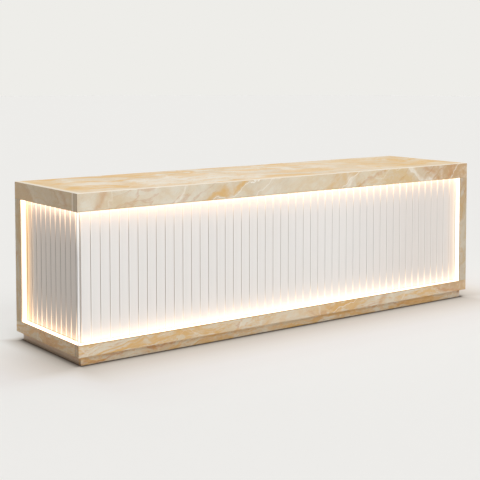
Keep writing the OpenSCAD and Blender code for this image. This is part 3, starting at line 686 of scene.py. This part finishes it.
# Scale of the rings and of the fibres, far less along the grain than across it
RING_STRETCH, FIBRE_STRETCH = (0.12, 1.0, 1.0), (0.03, 1.0, 1.0)
# Share of the rings in the tone, the rest being broad clouds, and the range over which it darkens
RING_SHARE, RING_RANGE = 0.55, (0.2, 0.85)
RING_BEND = {"Distortion": 5.0, "Detail": 3.0, "Detail Scale": 1.2}
# Range of noise over which the dark fibres come in, and their strength at its two ends
DARK_FIBRES = (0.56, 0.70, 0.0, 0.35)
TIMBER_ROUGHNESS = (0.48, 0.62)
FIBRE_BUMP = (0.0003, 0.4)


def timber_group():
    """Sawn timber: growth rings seen along the grain, pores and fibres."""
    tree, given, finish = group(
        "timber_grain",
        [
            ("Place", VECTOR, None),
            ("Light", COLOUR, (0.7, 0.5, 0.3, 1)),
            ("Dark", COLOUR, (0.5, 0.3, 0.15, 1)),
            ("Ring Scale", NUMBER, 14.0),
        ],
        SKIN,
    )
    stretched = mapped(tree, given["Place"], scale=RING_STRETCH)
    cloud = noise(tree, stretched, scale=2.4, detail=3)
    bent = {"Vector": stretched, "Scale": given["Ring Scale"], **RING_BEND}
    ring = node(tree, "ShaderNodeTexWave", bent, wave_type="BANDS", bands_direction="Z").outputs["Fac"]
    drawn = mapped(tree, given["Place"], scale=FIBRE_STRETCH)
    fibre = noise(tree, drawn, scale=420, detail=3, roughness=0.6)
    tone = maths(tree, "ADD", times(tree, ring, RING_SHARE), times(tree, cloud, 1 - RING_SHARE))
    colour = blend_colour(tree, band(tree, tone, *RING_RANGE), given["Light"], given["Dark"])
    colour = blend_colour(tree, band(tree, fibre, *DARK_FIBRES), colour, given["Dark"])
    rough = band(tree, fibre, *NOISE_RANGE, *TIMBER_ROUGHNESS)
    return finish(Color=colour, Roughness=rough, Height=fibre)


TIMBER_GRAIN = timber_group()


def timber(name, light, dark, rings):
    """Bare timber with its grain along the desk."""
    material, tree, shader, place = new_material(name)
    values = {"Place": place, "Light": light, "Dark": dark, "Ring Scale": rings}
    grain = use(tree, TIMBER_GRAIN, values)
    dress(tree, shader, grain["Color"], grain["Roughness"], grain["Height"], FIBRE_BUMP)
    return material


# Metal

# Scale of the brushed lines, far less along them than across
BRUSH_STRETCH = (0.02, 1.0, 1.0)
BRUSH_TONE = (0.86, 1.06)
# Range of noise of the handling marks, and what they add to the roughness
MARK_RANGE, MARK_ROUGHNESS = (0.35, 0.75), (-0.04, 0.12)
BRUSH_BUMP = (0.00005, 0.4)


def brushed_group():
    """Brushed or rolled metal: fine lines one way and faint handling marks."""
    tree, given, finish = group(
        "brushed_lines",
        [("Place", VECTOR, None), ("Colour", COLOUR, (0.7, 0.7, 0.7, 1)), ("Roughness", NUMBER, 0.3)],
        SKIN,
    )
    drawn = mapped(tree, given["Place"], scale=BRUSH_STRETCH)
    line = noise(tree, drawn, scale=900, detail=3, roughness=0.6)
    mark = noise(tree, given["Place"], scale=30, detail=4, roughness=0.6)
    colour = tinted(tree, given["Colour"], grey(tree, band(tree, line, *NOISE_RANGE, *BRUSH_TONE)))
    rough = maths(tree, "ADD", given["Roughness"], band(tree, mark, *MARK_RANGE, *MARK_ROUGHNESS))
    return finish(Color=colour, Roughness=rough, Height=line)


BRUSHED_LINES = brushed_group()


def metal(name, colour, rough):
    """A bare metal finish."""
    material, tree, shader, place = new_material(name)
    values = {"Place": place, "Colour": colour, "Roughness": rough}
    lines = use(tree, BRUSHED_LINES, values)
    dress(tree, shader, lines["Color"], lines["Roughness"], lines["Height"], BRUSH_BUMP, {"Metallic": 1.0})
    return material


# Light

WARM = (1.0, 0.64, 0.40)
PALE_WARM = (1.0, 0.65, 0.44)
POST_WARM = (1.0, 0.88, 0.77)
OPAL = (0.86, 0.85, 0.82, 1)
FROST_ROUGHNESS = (0.45, 0.6)
FROST_BUMP = (0.00005, 0.3)
# Rings of slightly stronger light about the desk's origin, one every 52 mm: their scale and low point
SWELL_SCALE, SWELL_LOW = 6.0, 0.95
# The light falls off along the desk between these two places
FALL_RUN = (0.4, 1.7)
# The light of the left post is deeper at its two long sides: the tone there, the distances from the post's
# middle over which it comes in, and those over which it goes again before the other post
RIM_TONE = (0.52, 0.36, 0.16, 1)
RIM_RISE, RIM_FALL = (0.008, 0.018), (0.05, 0.10)


def glowing(name, colour, strength, fall=1.0, rim_about=None):
    """Opal diffuser or strip: warm light with faint swells, weaker towards the desk's right end."""
    material, tree, shader, place = new_material(name)
    rings = {"Vector": place, "Scale": SWELL_SCALE, "Distortion": 0.0}
    swell = node(tree, "ShaderNodeTexWave", rings, wave_type="RINGS", rings_direction="SPHERICAL")
    along = apart(tree, place)[0]
    falling = band(tree, along, *FALL_RUN, 1.0, fall)
    lit = times(tree, band(tree, swell.outputs["Fac"], 0.0, 1.0, SWELL_LOW, 1.0), falling)
    channels = {index: times(tree, lit, share) for index, share in enumerate(colour)}
    glow = node(tree, "ShaderNodeCombineColor", channels).outputs[0]
    if rim_about is not None:
        aside = off_centre(tree, along, rim_about)
        rim = times(tree, band(tree, aside, *RIM_RISE), fade(tree, aside, *RIM_FALL))
        glow = tinted(tree, glow, RIM_TONE, rim)
    fill(tree, shader.inputs["Emission Color"], glow)
    frost = noise(tree, place, scale=700, detail=2)
    rough = band(tree, frost, *NOISE_RANGE, *FROST_ROUGHNESS)
    dress(tree, shader, OPAL, rough, frost, FROST_BUMP, {"Emission Strength": strength})
    return material


# Cuts of the stone

STONE_TOP = stone(
    "stone_top",
    move=(0, 0.3, 0),
    turn=(0, 0, 3),
    grown=(0.8, 0.55, 1),
    flame_tone=SOFT_FLAME,
    veins=TOP_VEINS,
    level=COUNTER,
    tint=(1.10, 1.10, 1.13, 1),
    edges=[TOP_FRONT_EDGE, TOP_LEFT_EDGE],
    shine=0.0,
    Cloud=0.4,
    Flame=0.65,
    Streak=0.8,
    Crack=0.3,
)
FASCIA_BLOCK = {"move": (0.4, 0.2, 0.1), "turn": (0, 24, 0)}
FRONT_CUT = {
    **FASCIA_BLOCK,
    "richer": (-0.3, 1.0, 2.6),
    "veins": FRONT_VEINS,
    "level": FASCIA_MIDDLE,
    "Cloud": 0.4,
    "Streak": 0.2,
    "Rust": 0.3,
    "Crack": 0.35,
}
STONE_FRONT = stone("stone_front", edges=[UNDER_EDGE], sawn=True, **FRONT_CUT)
STONE_RIGHT = stone("stone_right", **FRONT_CUT)
# Its darker, warmer tint is painted shade on the desk's shaded left side
STONE_LEFT = stone(
    "stone_left",
    move=(1.9, 0.2, 0.6),
    turn=(0, 24, 90),
    veins=LEFT_VEINS,
    level=FASCIA_MIDDLE,
    vein_turn=END_TURN,
    tint=(0.85, 0.73, 0.57, 1),
    edges=[UNDER_EDGE, JOINT_EDGE],
    Cloud=0.6,
    Streak=0.3,
    Rust=0.4,
    Crack=0.5,
)
STONE_REAR = stone("stone_rear", **FASCIA_BLOCK, Cloud=0.55, Streak=0.25, Rust=0.4, Crack=0.7)
BASE_AMOUNTS = {"Cloud": 0.4, "Flame": 0.85, "Streak": 1.0, "Rust": 0.4, "Crack": 0.35}
BASE_CUT = {
    "move": (1.4, 0.5, 0.8),
    "turn": (0, 5, 0),
    "veins": BASE_VEINS,
    "level": BASE_MIDDLE,
    "tint": (0.98, 0.965, 0.945, 1),
    **BASE_AMOUNTS,
}
STONE_BASE = stone("stone_base", edges=[BASE_EDGE], sawn=True, **BASE_CUT)
STONE_BASE_PLAIN = stone("stone_base_plain", **{**BASE_CUT, "Flame": 0.45, "Streak": 0.6})
# Its darker, warmer tint is painted shade on the desk's shaded left side
STONE_BASE_LEFT = stone(
    "stone_base_left",
    move=(0.3, 1.5, 0.8),
    turn=(0, 5, 90),
    tint=(0.96, 0.83, 0.64, 1),
    edges=[BASE_EDGE],
    **BASE_AMOUNTS,
)
# Its tint, above white, is painted light on the plinth's faces, which lie in the shade under the base
STONE_PLINTH = stone(
    "stone_plinth",
    move=(0.7, 2.5, 1.8),
    turn=(0, 4, 0),
    veins=PLINTH_VEINS,
    level=PLINTH_MIDDLE,
    tint=(1.24, 1.20, 1.16, 1),
    **BASE_AMOUNTS,
)
# Its darker, browner tint is painted shade, fitted to the shaded left end and worn by both ends
STONE_PLINTH_ENDS = stone(
    "stone_plinth_ends",
    move=(0.7, 2.5, 1.8),
    turn=(0, 4, 90),
    tint=(0.80, 0.60, 0.40, 1),
    edges=[LIT_FOOT_EDGE],
    **BASE_AMOUNTS,
)
POST_AMOUNTS = {"Cloud": 1.0, "Streak": 0.7, "Rust": 0.8, "Crack": 0.7}
STONE_RIGHT_POST = stone(
    "stone_right_post",
    move=(2.4, 1.5, 0.3),
    turn=(0, 80, 0),
    tint=(0.74, 0.71, 0.67, 1),
    edges=[RIGHT_POST_EDGE],
    **POST_AMOUNTS,
)
STONE_LEFT_POST = stone(
    "stone_left_post",
    move=(1.2, 0.5, 2.3),
    turn=(0, 80, 0),
    tint=(0.75, 0.70, 0.60, 1),
    edges=[LEFT_POST_EDGE],
    **POST_AMOUNTS,
)
STONE_PANEL = stone(
    "stone_right_end",
    move=(5.4, 0.5, 0.3),
    turn=(0, 60, 90),
    Cloud=0.6,
    Streak=0.4,
    Rust=0.5,
    Crack=0.6,
)

# Other finishes

FRONT_RIBS = ribbed_lacquer(
    "ribbed_lacquer_front",
    (0.85, 0.838, 0.825, 1),
    axis=0,
    start=FRONT_RUN_START,
    post=POST_INNER,
    reach=0.19,
    climb=(-1.4, 1.2, 0.25, 0.85),
    shade=(-1.2, 0.8, 0.45, 0.0),
    post_light_tint=(1.0, 0.94, 0.88, 1),
    post_glow=0.05,
    seam_light=(0.10, 0.16, 0.15, 1),
    arris=0.35,
    lift=(0.7, 1.4, 0.0, 0.06),
    dim=(0.92, 0.885, 0.86, 1),
    dimmed=(0.3, 1.5),
)
# Its colour, darker and warmer than the front's lacquer, is painted shade on the shaded left end
END_RIBS = ribbed_lacquer(
    "ribbed_lacquer_end",
    (0.80, 0.743, 0.691, 1),
    axis=1,
    start=END_RUN_START,
    post=LEFT_POST_INNER,
    reach=0.30,
    climb=0.95,
    shade=1.0,
    post_light_tint=(1.0, 0.86, 0.70, 1),
    post_glow=0.16,
    seam_light=(0.26, 0.21, 0.12, 1),
    groove_tone=DEEP_SHADE,
)

# What each material slot wears, and the pieces that wear a finish of their own
FINISHES = {
    "stone": STONE_REAR,
    "ribbed_paint": FRONT_RIBS,
    "corner_bar_paint": coated(
        "bar_powder_coat",
        (0.88, 0.87, 0.86, 1),
        rough=0.42,
        tone=0.02,
        peel=900.0,
        strip_glow=(0.38, 0.36, 0.31, 1),
    ),
    "light_channel": metal("channel_aluminium", (0.78, 0.78, 0.79, 1), rough=0.34),
    "light_diffuser": glowing("opal_diffuser_top", PALE_WARM, 4.6, fall=0.8),
    "light_strip": glowing("light_strip", WARM, 1.0),
    "driver_case": coated("driver_case", (0.70, 0.71, 0.72, 1), rough=0.5, peel=700.0),
    "foot_plastic": coated("foot_plastic", (0.02, 0.02, 0.022, 1), rough=0.5, tone=0.2, peel=700.0),
    "bearer_timber": timber("bearer_spruce", (0.72, 0.52, 0.30, 1), (0.50, 0.31, 0.14, 1), rings=16.0),
    "cabinet_laminate": coated("cabinet_laminate", (0.66, 0.63, 0.58, 1), rough=0.5, tone=0.04, peel=1100.0),
    "front_laminate": coated("front_laminate", (0.80, 0.78, 0.75, 1), rough=0.38, peel=1100.0),
    "drawer_timber": timber("drawer_birch", (0.76, 0.60, 0.40, 1), (0.62, 0.43, 0.24, 1), rings=10.0),
    "steel": metal("slide_steel", (0.62, 0.62, 0.63, 1), rough=0.32),
    "brass": metal("knob_brass", (0.82, 0.58, 0.26, 1), rough=0.24),
}
OWN_FINISHES = {
    "stone_top_panel": STONE_TOP,
    "top_fascia_front": STONE_FRONT,
    "top_fascia_left": STONE_LEFT,
    "top_fascia_right": STONE_RIGHT,
    "right_post": STONE_RIGHT_POST,
    "left_post": STONE_LEFT_POST,
    "right_end_panel": STONE_PANEL,
    "base_board_front": STONE_BASE,
    "base_board_left": STONE_BASE_LEFT,
    "base_board_right": STONE_BASE_PLAIN,
    "base_board_rear": STONE_BASE_PLAIN,
    "plinth_front": STONE_PLINTH,
    "plinth_rear": STONE_PLINTH,
    "plinth_ends": STONE_PLINTH_ENDS,
    "ribbed_panel_left_end": END_RIBS,
    "led_diffuser_base": glowing("opal_diffuser_base", WARM, 2.95, fall=0.72),
    "led_diffuser_posts": glowing("opal_diffuser_posts", POST_WARM, 1.2, rim_about=LEFT_FACE + BOARD / 2),
}


def dress_pieces():
    """Gives each piece its own finish, or else that of its slot."""
    for part in frame["record"]["subparts"]:
        name = part["node"]
        worn = nodes[name].data.materials
        worn.clear()
        worn.append(OWN_FINISHES.get(name) or FINISHES[part["material_slot"]])


# Floor

FLOOR_RADIUS, FLOOR_SIDES = 60, 64
BACKDROP = (0.855, 0.847, 0.815, 1)
# The floor is part reflected light and part steady glow, so that the desk's own shadow on it stays faint
STEADY_SHARE = 0.45
FLOOR_GREY = 0.88 * (1 - STEADY_SHARE)
FLOOR_TONE = (FLOOR_GREY, FLOOR_GREY, FLOOR_GREY, 1)
FLOOR_ROUGHNESS = 0.9

# Shade of the floor by distance from the plinth, in metres
FLOOR_SHADE = (
    (0.00, (0.13, 0.10, 0.08, 1)),
    (0.025, (0.35, 0.32, 0.29, 1)),
    (0.05, (0.62, 0.57, 0.52, 1)),
    (0.08, (0.70, 0.65, 0.60, 1)),
    (0.12, (0.75, 0.70, 0.65, 1)),
    (0.17, (0.79, 0.73, 0.68, 1)),
    (0.25, (0.85, 0.80, 0.76, 1)),
    (0.35, (0.91, 0.87, 0.84, 1)),
    (0.50, (0.96, 0.935, 0.93, 1)),
    (0.75, (0.99, 0.98, 0.98, 1)),
    (1.10, (1.0, 1.0, 1.0, 1)),
)
SHADE_REACH = 1.2
# How much the shade shrinks off the plinth's corners, and a small square that keeps a division from zero
OPEN_CORNER, SMALL_SQUARE = 3.0, 0.00001
# Painted light: the floor's painted shade is lifted, past white, beside the left end, where the surround is
# dim, ever more from front to rear
LIFTED = (1.08, 1.08, 1.08, 1)
SIDE_RUN = (LEFT_FACE - 0.15, LEFT_FACE + 0.01)
REAR_RUN = (FRONT_FACE + 0.10, REAR_FACE)
# It is lifted behind the desk too, but only near the left corner
BEHIND_RUN = (REAR_FACE - 0.05, REAR_FACE + 0.09)
CORNER_RUN = (LEFT_FACE + 0.3, LEFT_FACE + 0.9)
# Distances from the plinth over which the lift fades out
LIFT_REACH = (0.4, 1.1)
# The plinth meets the floor in a painted contact shadow, a thin dark line: where it fades out from the long
# sides and at their ends
CONTACT_FADE, CONTACT_END = (0.012, 0.030), (0.0, 0.012)
CONTACT_SHARE = 0.45
BLACK = (0, 0, 0, 1)


def plinth_distance(tree, beyond, sides):
    """Distance from the plinth in metres, counted as more off its corners."""
    away = node(tree, "ShaderNodeVectorMath", {0: beyond}, operation="LENGTH").outputs["Value"]
    square = maths(tree, "ADD", times(tree, away, away), SMALL_SQUARE)
    diagonal = maths(tree, "DIVIDE", times(tree, sides[0], sides[1]), square)
    cornered = times(tree, diagonal, diagonal, OPEN_CORNER)
    return times(tree, away, maths(tree, "ADD", cornered, 1.0))


def lifted_floor(tree, axes, distance, shade):
    """Paints the floor lighter beside and behind the desk's left end, lifting its painted shade; returns the
    colour.
    """
    behind = times(tree, band(tree, axes[1], *BEHIND_RUN), fade(tree, axes[0], *CORNER_RUN))
    outside = maths(tree, "MAXIMUM", fade(tree, axes[0], *SIDE_RUN), behind)
    lift = times(tree, outside, band(tree, axes[1], *REAR_RUN), fade(tree, distance, *LIFT_REACH))
    return blend_colour(tree, lift, shade, LIFTED)


def floor_shade(tree, place):
    """Painted shade of the floor round the plinth, with a painted contact shadow where the two meet; returns
    the colour.
    """
    beyond = vectors(tree, "MAXIMUM", vectors(tree, "SUBTRACT", vectors(tree, "ABSOLUTE", place), FOOT))
    sides = apart(tree, beyond)
    distance = plinth_distance(tree, beyond, sides)
    stops = [(reach / SHADE_REACH, tone) for reach, tone in FLOOR_SHADE]
    shade = ramp(tree, maths(tree, "DIVIDE", distance, SHADE_REACH), stops)
    shade = lifted_floor(tree, apart(tree, place), distance, shade)
    # Painted contact shadow where the plinth meets the floor
    contact = times(tree, fade(tree, sides[1], *CONTACT_FADE), fade(tree, sides[0], *CONTACT_END))
    return blend_colour(tree, times(tree, contact, CONTACT_SHARE), shade, BLACK)


def lay_floor():
    """A plain pale floor that wears its painted shade."""
    mesh = bmesh.new()
    bmesh.ops.create_circle(mesh, cap_ends=True, radius=FLOOR_RADIUS, segments=FLOOR_SIDES)
    data = bpy.data.meshes.new("pale_floor")
    mesh.to_mesh(data)
    mesh.free()
    floor = bpy.data.objects.new("pale_floor", data)
    bpy.context.scene.collection.objects.link(floor)

    material, tree, shader, place = new_material("pale_floor")
    shade = floor_shade(tree, place)
    fill(tree, shader.inputs["Base Color"], tinted(tree, shade, FLOOR_TONE))
    fill(tree, shader.inputs["Emission Color"], tinted(tree, shade, BACKDROP))
    shader.inputs["Emission Strength"].default_value = STEADY_SHARE
    shader.inputs["Roughness"].default_value = FLOOR_ROUGHNESS
    shader.inputs["Specular IOR Level"].default_value = 0.0
    data.materials.append(material)


# Studio light

# Way from the desk to the key light; its length is the light's strength
KEY_LIGHT = Vector((0.02, -0.315, 0.50))
KEY_SPREAD = math.radians(60)
# Tones of the surround on the left and the right, and where across it the first turns into the second
DIM_SIDE = (0.05, 0.04, 0.03, 1)
BRIGHT_SIDE = (1.0, 0.985, 0.955, 1)
LEFT_TO_RIGHT = (-0.6, 0.5)
# Where from front to rear its strength grows, and its strength at the front and the rear
FRONT_TO_REAR = (-0.6, 0.6, 0.64, 1.02)


def keep_glow_on_desk():
    """The diffusers light the desk alone, so that the floor keeps its even tone."""
    lit = bpy.data.collections.new("lit_by_diffusers")
    for piece in nodes.values():
        lit.objects.link(piece)
    for part in frame["record"]["subparts"]:
        if part["material_slot"] == "light_diffuser":
            nodes[part["node"]].light_linking.receiver_collection = lit


def light_studio():
    """A soft key from the front, and a surround that is bright behind and dim on the left."""
    scene = bpy.context.scene
    key = bpy.data.lights.new("soft_key", "SUN")
    key.energy = KEY_LIGHT.length * math.pi
    key.angle = KEY_SPREAD
    lamp = bpy.data.objects.new("soft_key", key)
    lamp.rotation_euler = KEY_LIGHT.to_track_quat("Z", "Y").to_euler()
    scene.collection.objects.link(lamp)

    world = bpy.data.worlds.new("studio")
    world.use_nodes = True
    tree = world.node_tree
    tree.nodes.clear()
    axes = apart(tree, node(tree, "ShaderNodeTexCoord").outputs["Generated"])
    tone = blend_colour(tree, band(tree, axes[0], *LEFT_TO_RIGHT), DIM_SIDE, BRIGHT_SIDE)
    strength = band(tree, axes[1], *FRONT_TO_REAR)
    surround = node(tree, "ShaderNodeBackground", {"Color": tone, "Strength": strength})
    # The camera sees the backdrop's even tone in place of the surround
    backdrop = node(tree, "ShaderNodeBackground", {"Color": BACKDROP, "Strength": 1.0})
    ray = node(tree, "ShaderNodeLightPath").outputs["Is Camera Ray"]
    mixed = node(tree, "ShaderNodeMixShader", {0: ray, 1: surround.outputs[0], 2: backdrop.outputs[0]})
    node(tree, "ShaderNodeOutputWorld", {"Surface": mixed.outputs[0]})
    scene.world = world

    scene.view_settings.view_transform = "Standard"
    scene.view_settings.look = "None"
    scene.view_settings.exposure = 0
    scene.view_settings.gamma = 1


place_camera()
dress_pieces()
lay_floor()
light_studio()
keep_glow_on_desk()
